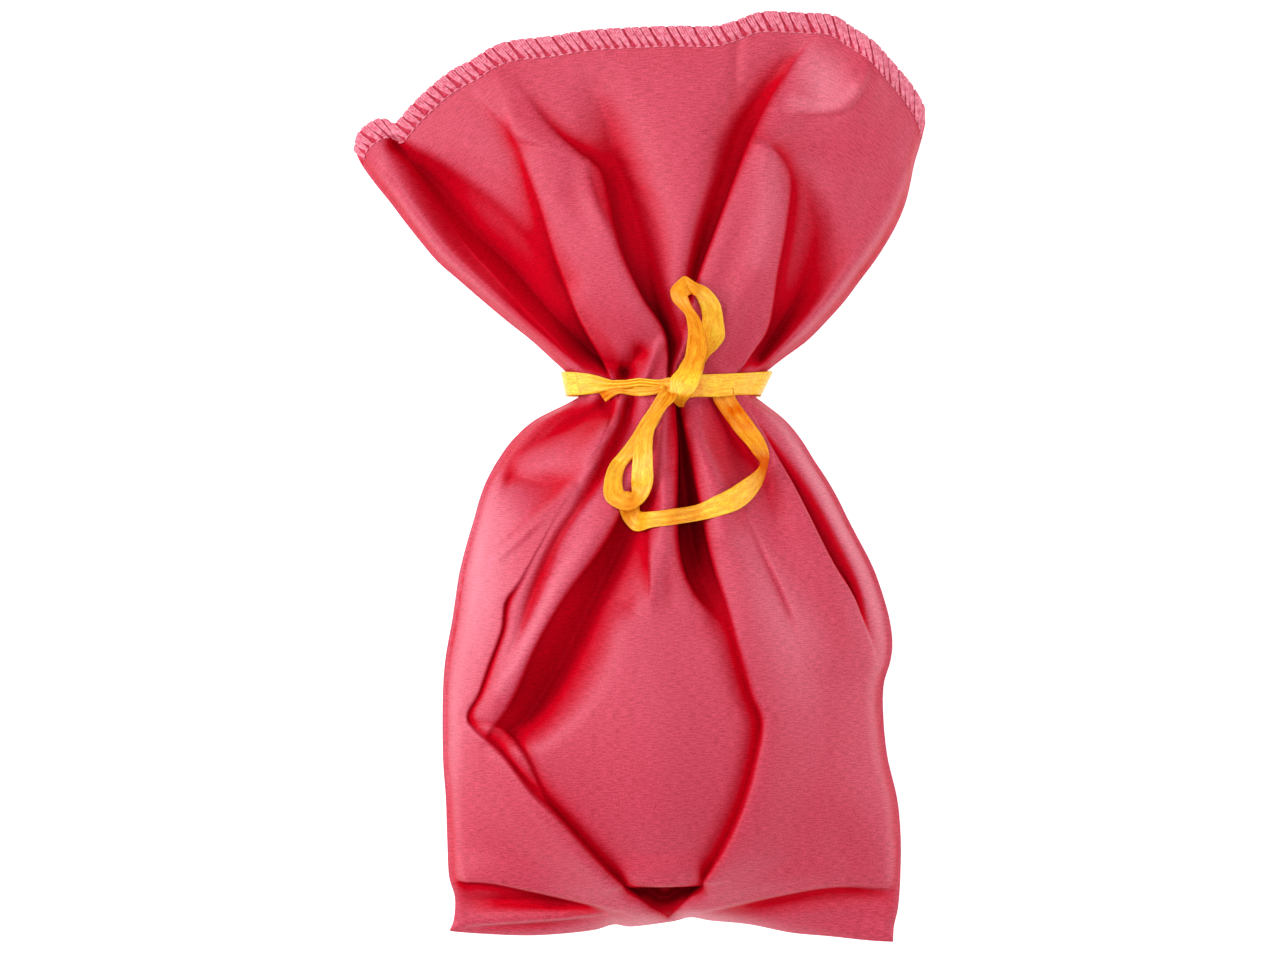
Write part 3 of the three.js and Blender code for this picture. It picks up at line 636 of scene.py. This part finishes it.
def grid_piece(name, grid, flat, material, body, closed=False, flip=False, thickness=0.0, depth=None):
    """A quad mesh through a grid of points, that rides on a body.

    closed joins its last row to its first. thickness is in millimetres. depth holds the shade and sheen
    painted into its colour."""
    rows, columns = grid.shape[:2]
    i, j = np.meshgrid(np.arange(rows if closed else rows - 1), np.arange(columns - 1), indexing="ij")
    a = (i * columns + j).ravel()
    b = ((i + 1) % rows * columns + j).ravel()
    faces = np.stack([a, a + 1, b + 1, b], axis=1)
    if flip:
        faces = faces[:, ::-1]
    mesh = bpy.data.meshes.new(name)
    mesh.from_pydata(to_frame(grid.reshape(-1, 3)).tolist(), [], faces.tolist())
    lay_out(mesh, flat)
    if depth is not None:
        mesh.attributes.new("painted_shading", "FLOAT", "POINT").data.foreach_set("value", depth.ravel())
    piece = as_piece(name, mesh, material)
    if thickness:
        solid = piece.modifiers.new("thickness", "SOLIDIFY")
        solid.thickness = thickness / 1000
        solid.offset = 0
    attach(piece, body)
    return piece


def flat_shape(u, v):
    """The uv map of a grid, from two distances on its flat cloth in millimetres."""
    return np.stack(np.broadcast_arrays(u / UV_UNIT, v / UV_UNIT), axis=-1)


PANEL = {"flat": (0.27, 0.365), "area": 0.084}  # cut 0.19 m wide at the bottom and 0.27 m at the mouth


def cloth_piece(name, grid, relief, flip=False):
    """A panel of the pouch. flip turns its face down, as the back's is."""
    width, length = 1000 * np.array(PANEL["flat"])
    flat = flat_shape(width * U[None, :], np.linspace(0, length, grid.shape[0])[:, None])
    depth = painted_shading(grid, relief)
    if not flip:
        # Painted sheen lightens the colour on open cloth, and fades out in the folds.
        depth = depth - painted_sheen_map(grid) * np.clip((0.2 - depth) / 0.12, 0, 1)
    piece = grid_piece(name, grid, flat, CORAL, "pouch", flip=flip, depth=depth)
    return piece


def tubes(name, paths, radius):
    """Round sewing threads along many paths of the same number of points, as one piece of the pouch."""
    sides = 6
    paths = np.asarray(paths)
    tangent = np.gradient(paths, axis=1)
    tangent /= np.linalg.norm(tangent, axis=2, keepdims=True)
    side = np.cross(tangent, [0.0, 0.0, 1.0])
    side /= np.linalg.norm(side, axis=2, keepdims=True) + 1e-9
    up = np.cross(side, tangent)
    turn = np.linspace(0, 2 * np.pi, sides, endpoint=False)
    ring = side[..., None, :] * np.cos(turn)[:, None] + up[..., None, :] * np.sin(turn)[:, None]
    points = paths[:, :, None, :] + radius * ring
    count, length = paths.shape[:2]
    k, i, j = np.meshgrid(np.arange(count), np.arange(length - 1), np.arange(sides), indexing="ij")
    base = (k * length + i) * sides
    ahead = base + (j + 1) % sides
    faces = np.stack([base + j, ahead, ahead + sides, base + sides + j], axis=-1)
    tips = [n for n in range(count * length) if n % length in (0, length - 1)]
    ends = [list(range(n * sides, (n + 1) * sides)) for n in tips]
    mesh = bpy.data.meshes.new(name)
    mesh.from_pydata(to_frame(points.reshape(-1, 3)).tolist(), [], faces.reshape(-1, 4).tolist() + ends)
    lay_out(mesh, points[..., :2] / UV_UNIT)
    piece = as_piece(name, mesh, THREAD)
    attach(piece, "pouch")
    return piece


# ---- the overlocked mouth

HEM_WIDTH = 7.3
END = 0.6  # the mouth's length left bare at each end
STITCH = 3.4  # from one overlock stitch to the next
SLANT = 4.2  # how far a stitch's inner end is ahead of its outer end


def mouth_frame(grid):
    """The mouth's length, and a function from distances along it and in from its edge to the cloth."""
    tail = grid[-40:][::-1]  # the rows nearest the mouth, its edge first
    steps = np.linalg.norm(np.diff(tail[..., :2], axis=0), axis=2)
    depth = np.concatenate([np.zeros((1, COLUMNS)), np.cumsum(steps, axis=0)])
    run = lengths(tail[0])

    def point(s, inwards):
        column = np.interp(s, run, np.arange(COLUMNS))
        i = np.minimum(column.astype(int), COLUMNS - 2)
        f = (column - i)[..., None]
        out = []
        for k in (i, i + 1):
            found = np.empty(np.shape(s) + (3,))
            for index in np.ndindex(np.shape(s)):
                j = k[index]
                found[index] = [np.interp(abs(inwards[index]), depth[:, j], tail[:, j, c]) for c in range(3)]
            out.append(found)
        return out[0] * (1 - f) + out[1] * f

    return run[-1], point


def hem(side, grid, up):
    """The hem's thick edge, its overlock stitches and its line of needle thread. Returns the stitches.

    up is 1 on the front and -1 on the back."""
    length, point = mouth_frame(grid)
    # Across the hem, round the edge and back below it: distance in from the edge, and height off the cloth.
    inwards = np.array([HEM_WIDTH, HEM_WIDTH - 0.5, 5, 3, 1.2, 0.2, 0.0, 0.6, 2.0])
    lift = np.array([0.1, 0.45, 0.75, 0.8, 0.7, 0.35, -0.1, -0.5, -0.5])
    s = np.linspace(0, length, 360)
    along, across = np.meshgrid(s, inwards, indexing="ij")
    edge = point(along, across)
    edge[..., 2] += up * lift[None, :]
    band_piece = grid_piece(
        f"{side}_mouth_hem", edge, flat_shape(along, across), HEM_CLOTH, "pouch", flip=up > 0
    )

    # A stitch's thread from its inner end out, round the edge and back below it.
    ahead = SLANT * np.array([1, 0.85, 0.6, 0.3, 0.1, 0, 0, 0.1])
    parted = np.array([0.2, 0.5, 0.8, 1, 1, 0.9, 0.8, 0.7])
    inwards = np.array([7.2, 6.2, 4.6, 2.6, 0.9, 0.0, 0.3, 1.8])
    lift = np.array([0.2, 0.9, 1.35, 1.4, 1.25, 0.4, -0.6, -0.8])
    stitches = []
    needle = []
    for n, start in enumerate(np.arange(END, length - SLANT - END, STITCH)):
        sway = 0.35 * np.sin(2.4 * n)
        for spread in (-0.95, 0.0, 0.95):
            s = start + ahead + spread * parted + sway
            path = point(np.clip(s, 0, length), inwards)
            path[:, 2] += up * lift
            stitches.append(smooth(path, 14))
        s = start + SLANT + np.array([-1.2, -0.6, 0, 0.6, 1.2])
        path = point(np.clip(s, 0, length), HEM_WIDTH + 0.3 + np.zeros(5))
        path[:, 2] += up * np.array([0.1, 0.45, 0.5, 0.45, 0.1])
        needle.append(path)
    stitches_piece = tubes(f"{side}_mouth_stitches", stitches, 0.5)
    tubes(f"{side}_needle_thread", needle, 0.3)
    return stitches_piece


# ---- ribbon

RIBBON_WIDTH = 9.5
RIBBON_THICKNESS = 0.4
ACROSS = np.linspace(0, 1, 13)

# Stations of each length of ribbon: one edge (x, y), the other edge (x, y), lift off the cloth, lean, shade.
# From above the ribbon is narrower where it leans or is pleated. Lean 1 lifts its first edge, -1 its second.
# The shade column is painted shade, added to the colour where the satin faces away from the light.
UPPER_LOOP = [
    (3, 1, 11.5, -0.5, 3.5, 0, 0.08), (3.5, 4, 12.5, 2.5, 4.5, 0, 0.09), (6, 9, 13.5, 7.5, 5.4, 0, 0.12),
    (7, 14.5, 15, 12.5, 6, 0, 0.15), (7.5, 20.5, 14.5, 18, 6.4, 0, 0.15),
    (6.5, 26, 12.5, 23.5, 6.6, -0.3, 0.1), (4, 29, 9, 29, 6.6, -0.5, 0.05),
    (1.5, 32, 7.5, 32.5, 6.2, -0.6, 0.04), (1, 36, 7.5, 33.5, 5.6, -0.6, 0.05),
    (4, 39.5, 8.5, 34, 5, -0.5, 0.06), (6.5, 41, 9, 34, 4.4, -0.5, 0.08),
    (10.5, 38.5, 10.5, 33, 3.8, -0.5, 0.04), (15.5, 36, 11.5, 31, 3.4, -0.3, 0),
    (19.5, 31, 12.5, 28, 3, 0, 0), (21, 24.5, 13, 24.5, 2.4, 0, 0), (21.5, 18, 12.5, 19.5, 1.8, 0, 0.02),
    (19, 14, 10, 16, 1.4, 0, 0.06), (15.5, 10.5, 7.5, 12, 1.2, 0, 0.1), (13, 6, 4.5, 7.5, 1, 0, 0.14),
    (11.5, 2, 3, 3, 1, 0, 0.14),
]
LOWER_LOOP = [
    (0, 0.5, 2.5, -5, 3, 0, 0.16), (-3, -2.5, 1, -6.5, 3, 0, 0.12), (-7, -9, -2, -11.5, 2.4, 0, 0.09),
    (-10.5, -14, -5, -17, 1.8, 0, 0.06), (-14, -20, -9, -22.5, 1.4, -0.3, 0.04),
    (-18.5, -26, -13, -27.5, 1, -0.3, 0.02), (-22.5, -31, -16.5, -32, 1, 0.2, 0),
    (-24.5, -38, -17.5, -36.5, 1, 0.3, 0), (-24, -43.5, -17, -40.5, 1.2, 0.4, 0.04),
    (-20, -47, -15, -41, 1.6, 0.4, 0.08), (-14.5, -48, -14, -41, 2.4, 0.4, 0.1),
    (-9, -44.5, -14, -38.5, 3.6, 0.3, 0.06), (-6, -38, -14, -35, 4.6, 0.2, 0.02),
    (-6, -29.5, -13.5, -28, 5.4, 0.35, 0), (-6, -21, -13, -22, 5.8, 0.4, 0.02),
    (-4.5, -15, -11, -17.5, 6, 0.35, 0.05), (-1, -9.5, -6, -11, 6, 0, 0.1),
    (2.5, -6, -2.5, -6.5, 5.6, 0, 0.14), (4, -2.5, -1, -3, 4, 0, 0.18),
]
LONG_TAIL = [
    (25, -1, 16.5, -1, 0.6, 0, 0.24), (26, -5, 17.5, -6, 0.7, 0, 0.2), (29, -9.5, 21, -11.5, 0.9, 0, 0.24),
    (33, -15, 26, -18.5, 1.2, 0, 0.17), (36.5, -20.5, 30, -23, 1.6, -0.4, 0.07),
    (38.5, -26, 32.5, -26.5, 2, -0.6, 0.08), (38, -31, 35, -30, 2.4, -0.9, 0.08),
    (36, -37.5, 33.5, -33, 2.2, -0.6, 0.03), (32.5, -43, 28.5, -36.5, 1.6, -0.4, 0),
    (27, -47.5, 23, -40, 1.2, 0, 0.03), (20, -50, 17, -43, 1, 0, 0), (11.5, -52, 10.5, -46, 1.8, 0, 0.1),
    (1.5, -53.5, 1.5, -47.5, 2, 0, 0.12), (-6, -54.5, -6.5, -48.5, 2.2, 0, 0.05),
    (-12.5, -56, -10.5, -48.5, 2, 0, 0.08), (-17, -52, -11, -46.5, 2.6, 0, 0.14),
    (-19, -46.5, -12.5, -43.5, 2.6, 0, 0.18),
]
SHORT_TAIL = [
    (-1.5, 0, -1, -3, 2.4, 0, 0.14), (-6, -1, -6, -4, 2.4, 0, 0.08), (-10.5, -1, -10.5, -4.5, 2, 0, 0.08),
    (-15, -1, -14.5, -4, 1.6, 0, 0.09), (-19.5, -1, -18.5, -3.5, 1.3, 0, 0.12),
    (-23, -1.5, -21, -4.5, 1.2, 0, 0.16), (-26.5, -3, -24, -6.5, 1.2, 0, 0.18),
]
KNOT_WRAP = [
    (5.5, 9, 14, 7.5, 2.5, 0, 0.08), (3.5, 5.5, 13, 4, 6, 0, 0.05), (1, 2.5, 12, 1, 8, 0, 0.02),
    (0.5, -1, 10.5, -2, 8.6, 0, 0.03), (1, -4, 8.5, -4.5, 7, 0, 0.07), (2.5, -7, 6.5, -7, 3.5, 0, 0.12),
    (4, -8.5, 6, -8.5, 0.5, 0, 0.16),
]
KNOT_STRAP = [
    (-4, 1.5, -3, -2.5, 2, 0, 0.14), (0, 2.5, 1.5, -4, 4.6, 0, 0.1), (6, 3, 7.5, -5, 5, 0, 0.12),
    (12.5, 4, 13.5, -4.5, 2.4, 0, 0.12), (17, 4, 17.5, -4.5, 0.8, 0, 0.05),
]


def cloth_height(surface, x, y):
    """The highest cloth within 2.5 mm of a place."""
    close = (surface[..., 0] - x) ** 2 + (surface[..., 1] - y) ** 2 < 2.5**2
    return surface[..., 2][close].max()


def crumple(run):
    """Small dents along a ribbon, in millimetres: [station, across]."""
    s, t = run[:, None], ACROSS[None, :]
    slanting = 0.16 * np.sin(s / 1.9 + 5 * t) * np.sin(s / 5.3 + 2)
    return slanting + 0.12 * np.sin(s / 3.1 - 7 * t + 1) * np.sin(np.pi * t)


def strip(name, stations, surface, body):
    """A flat ribbon between its two edges. Returns the piece, its centre line in metres and its length."""
    p = np.asarray(stations, dtype=float)
    fine = smooth(p, 16 * len(p))
    a, b, lift, lean = fine[:, :2], fine[:, 2:4], fine[:, 4], fine[:, 5]
    # What is missing from its width leans up or lies in pleats.
    seen = np.linalg.norm(a - b, axis=1)
    missing = np.sqrt(np.clip(RIBBON_WIDTH**2 - seen**2, 0, None))
    ground = [cloth_height(surface, *(0.5 * (q[:2] + q[2:4]))) for q in p]
    ground = np.interp(np.linspace(0, len(p) - 1, len(fine)), np.arange(len(p)), ground)
    ground = np.convolve(np.pad(ground, 8, mode="edge"), np.ones(17) / 17, mode="valid")
    middle = ground + lift + 0.5 * np.abs(lean) * missing
    grid = np.empty((len(fine), len(ACROSS), 3))
    grid[..., :2] = a[:, None, :] * (1 - ACROSS)[None, :, None] + b[:, None, :] * ACROSS[None, :, None]
    grid[..., 2] = middle[:, None] + (lean * missing)[:, None] * (0.5 - ACROSS)[None, :]
    run = lengths(grid[:, len(ACROSS) // 2])
    pleat = np.clip((1 - np.abs(lean)) * missing / RIBBON_WIDTH, 0, 0.8)
    wave = np.cos(2 * np.pi * (2.5 * ACROSS[None, :] + 0.08 * np.sin(run / 6)[:, None]))
    grid[..., 2] += 0.15 * pleat[:, None] * wave + crumple(run)
    flat = flat_shape(ACROSS[None, :] * RIBBON_WIDTH, run[:, None])
    # Painted shade: darker where the ribbon leans or lies in its pleats' valleys, plus each station's shade.
    shade = 0.3 * (np.abs(lean) * missing / RIBBON_WIDTH)[:, None] + 0.06 * pleat[:, None] * (1 - wave)
    shade = shade + fine[:, 6:7] * (1 + 0.2 * np.sin(run / 1.3)[:, None] * np.sin(4 * ACROSS)[None, :])
    piece = grid_piece(name, grid, flat, RIBBON, body, thickness=RIBBON_THICKNESS, depth=shade)
    return piece, to_frame(grid[:, len(ACROSS) // 2]), run[-1] / 1000


def neck_outline(surface):
    """The ribbon's way over the front of the neck, bridging its valleys: points (x, z) from the left."""
    ring = surface[np.abs(surface[..., 1]) < 5]
    hull = []
    for x, z in sorted(zip(np.round(ring[:, 0]), ring[:, 2])):
        while len(hull) > 1:
            (x1, z1), (x2, z2) = hull[-2:]
            if (x2 - x1) * (z - z1) < (z2 - z1) * (x - x1):
                break
            hull.pop()
        hull.append((x, z))
    return np.array(hull)


# The band's edges, seen from above: (x, upper y, lower y). Then x where they turn round each side.
BAND_EDGES = [
    (-42, 5.4, -4), (-36, 5, -3.9), (-30, 4.2, -3.4), (-26, 3.1, -2.6), (-21.5, 1.6, -1.6), (-16, 1.6, -1.3),
    (-11, 2.3, -0.8), (-5, 1.6, -1.4), (-2, 1.8, -2), (6, 3, -4), (13, 3.9, -4.7), (22, 4.2, -4.7),
    (31, 4.7, -3.8), (42, 5.6, -3.6),
]
BAND_LEFT = (-41.2, -39.3)
BAND_RIGHT = (40.4, 35.8)


def band(surface):
    """The ribbon round the neck: over the front, round the sides and back under the bag."""
    hull = neck_outline(surface)
    x, z = hull[:, 0], hull[:, 1] + 0.6  # its middle's height off the cloth
    left, right = BAND_LEFT[0], BAND_RIGHT[0]
    side_z = 9  # where the front's part ends at each side
    keep = (x > left + 5) & (x < right - 5)
    front_part = [(left, side_z), (left + 1.5, 14)] + list(zip(x[keep], z[keep])) + [(right - 1.5, 14)]
    back_part = [
        (right, side_z), (right - 2, 4.6), (right - 10, 2.8), (0, 2.6), (left + 10, 2.8), (left + 2, 4.6),
        (left, side_z),
    ]
    loop = even(front_part + back_part, 260)[:-1]
    edges = np.array(BAND_EDGES)
    over = loop[:, 1] > side_z
    upper = np.where(over, np.interp(loop[:, 0], edges[:, 0], edges[:, 1]), 5.0)
    lower = np.where(over, np.interp(loop[:, 0], edges[:, 0], edges[:, 2]), -4.2)
    grid = np.empty((len(loop), len(ACROSS), 3))
    t = ACROSS[None, :]
    # Each side's turn slants from its upper edge to its lower one.
    slant = np.clip(loop[:, 0] / right, 0, 1)[:, None] * (BAND_RIGHT[0] - BAND_RIGHT[1])
    slant = slant + np.clip(loop[:, 0] / left, 0, 1)[:, None] * (BAND_LEFT[0] - BAND_LEFT[1])
    grid[..., 0] = loop[:, 0:1] - slant * t
    grid[..., 1] = upper[:, None] * (1 - t) + lower[:, None] * t
    grid[..., 2] = loop[:, 1:2]
    run = lengths(grid[:, len(ACROSS) // 2])
    pleat = np.clip(1 - (upper - lower) / RIBBON_WIDTH, 0, 0.7)
    wave = np.cos(2 * np.pi * (2.5 * t + 0.1 * np.sin(run / 5)[:, None]))
    grid[..., 2] += 0.9 * pleat[:, None] * wave + crumple(run)
    # Painted shade in the valleys of the band's pleats.
    shade = 0.35 * pleat[:, None] * (0.5 - 0.5 * wave)
    piece = grid_piece(
        "neck_band", grid, flat_shape(t * RIBBON_WIDTH, run[:, None]), RIBBON, "pouch", closed=True,
        thickness=RIBBON_THICKNESS, depth=shade,
    )
    return piece


# ---- camera, light and floor

DISTANCE = 1.6  # the camera's, in metres, from the level that the picture's width is taken at
LEVEL_HEIGHT = 0.02  # that level's, off the table
FRAME_WIDTH = 0.4928  # what the picture spans there
SENSOR = 36
camera_data = bpy.data.cameras.new("camera")
camera_data.sensor_width = SENSOR
camera_data.lens = SENSOR * DISTANCE / FRAME_WIDTH
camera = bpy.data.objects.new("camera", camera_data)
aim = to_frame([-10.8, -36.6, 0])  # the picture's middle
camera.location = (aim[0], aim[1], DISTANCE + LEVEL_HEIGHT)
bpy.context.scene.collection.objects.link(camera)
bpy.context.scene.camera = camera


def area_light(name, location, size, power):
    """A white round lamp that faces the middle of the table. size is in metres, and power in watts."""
    data = bpy.data.lights.new(name, "AREA")
    data.shape = "DISK"
    data.size = size
    data.energy = power
    lamp = bpy.data.objects.new(name, data)
    lamp.location = location
    lamp.rotation_euler = (-Vector(location)).to_track_quat("-Z", "Y").to_euler()
    bpy.context.scene.collection.objects.link(lamp)


area_light("key", (-0.95, 0.55, 1.5), 0.55, 8)
area_light("overhead", (0.1, 0.1, 2.2), 0.9, 17)
area_light("left", (-1.7, 0.2, 0.95), 0.6, 20)
area_light("right", (1.7, -0.1, 0.8), 0.6, 9)
# White all round. It lights the cloth with less than it shows, so the folds keep their depth.
world = bpy.data.worlds.new("studio")
world.use_nodes = True
background = world.node_tree.nodes["Background"]
background.inputs["Color"].default_value = (1, 1, 1, 1)
rays = world.node_tree.nodes.new("ShaderNodeLightPath").outputs["Is Camera Ray"]
world.node_tree.links.new(ramp(world.node_tree, rays, 0, 1, 0.46, 1.0), background.inputs["Strength"])
bpy.context.scene.world = world
bpy.context.scene.view_settings.view_transform = "Standard"

FLOOR = 30  # half its side, in metres
FLOOR_HEIGHT = -0.0002  # just below the table's zero
floor_mesh = bpy.data.meshes.new("floor")
corners = [(x * FLOOR, y * FLOOR, FLOOR_HEIGHT) for x, y in ((-1, -1), (1, -1), (1, 1), (-1, 1))]
floor_mesh.from_pydata(corners, [], [(0, 1, 2, 3)])
floor = bpy.data.objects.new("floor", floor_mesh)
bpy.context.scene.collection.objects.link(floor)
paper, paper_tree, paper_shader = node_material("paper")
paper_shader.inputs["Base Color"].default_value = (0.93, 0.93, 0.93, 1)
paper_shader.inputs["Roughness"].default_value = 0.9
paper_shader.inputs["Emission Color"].default_value = (1, 1, 1, 1)
paper_shader.inputs["Emission Strength"].default_value = 0.57
floor_mesh.materials.append(paper)

# ---- the pouch

front_grid, front_relief = front_surface()
back_grid, back_relief = back_surface()
front = cloth_piece("front_cloth", front_grid, front_relief)
back = cloth_piece("back_cloth", back_grid, back_relief, flip=True)
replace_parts(front, "front_panel")
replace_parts(back, "back_panel")
for side, grid, up in (("front", front_grid, 1), ("back", back_grid, -1)):
    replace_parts(hem(side, grid, up), f"{side}_mouth_overlock")

# ---- the ribbon

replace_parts(band(front_grid), "ribbon_neck_band")
for name, stations, body, node in (
    ("upper_bow_loop", UPPER_LOOP, "upper_loop", "ribbon_upper_loop"),
    ("lower_bow_loop", LOWER_LOOP, "lower_bow", "ribbon_lower_loop"),
    ("long_tail", LONG_TAIL, "lower_bow", "ribbon_long_tail"),
    ("short_tail", SHORT_TAIL, "short_tail", "ribbon_short_tail"),
    ("knot_wrap", KNOT_WRAP, "pouch", "ribbon_knot"),
    ("knot_strap", KNOT_STRAP, "pouch", None),
):
    piece, path, length = strip(name, stations, front_grid, body)
    if node:
        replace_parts(piece, node)

# ---- the seams inside


def seam_strip(node, across):
    """The overlocked seam allowance, half way between the panels.

    across lists lines of (rows, columns) of the panels' points, from the seam inwards."""
    lines = [0.5 * (front_grid[rows, columns] + back_grid[rows, columns]) for rows, columns in across]
    grid = np.stack(lines, axis=1)
    flat = flat_shape(lengths(grid[:, 0])[:, None], 5 / 3 * np.arange(grid.shape[1])[None, :])
    piece = grid_piece(node + "_allowance", grid, flat, THREAD, "pouch", thickness=0.5)
    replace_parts(piece, node)


def side_lines(side):
    """Lines of columns, one column to a row, from 1 to 6 mm in from a side seam."""
    widths = np.linalg.norm(PLAN[:, -1, :2] - PLAN[:, 0, :2], axis=1)
    lines = []
    for reach in (1.0, 2.5, 4.0, 6.0):
        column = np.minimum(np.searchsorted(U, reach / widths), COLUMNS // 4)
        lines.append(column if side == "left" else COLUMNS - 1 - column)
    return lines


every_row = np.arange(6, PLAN.shape[0] - 4)
for side in ("left", "right"):
    seam_strip(f"{side}_side_seam", [(every_row, line[6:-4]) for line in side_lines(side)])
every_column = np.arange(8, COLUMNS - 8)
seam_strip("bottom_seam", [(np.full(len(every_column), k), every_column) for k in (2, 4, 6, 9)])
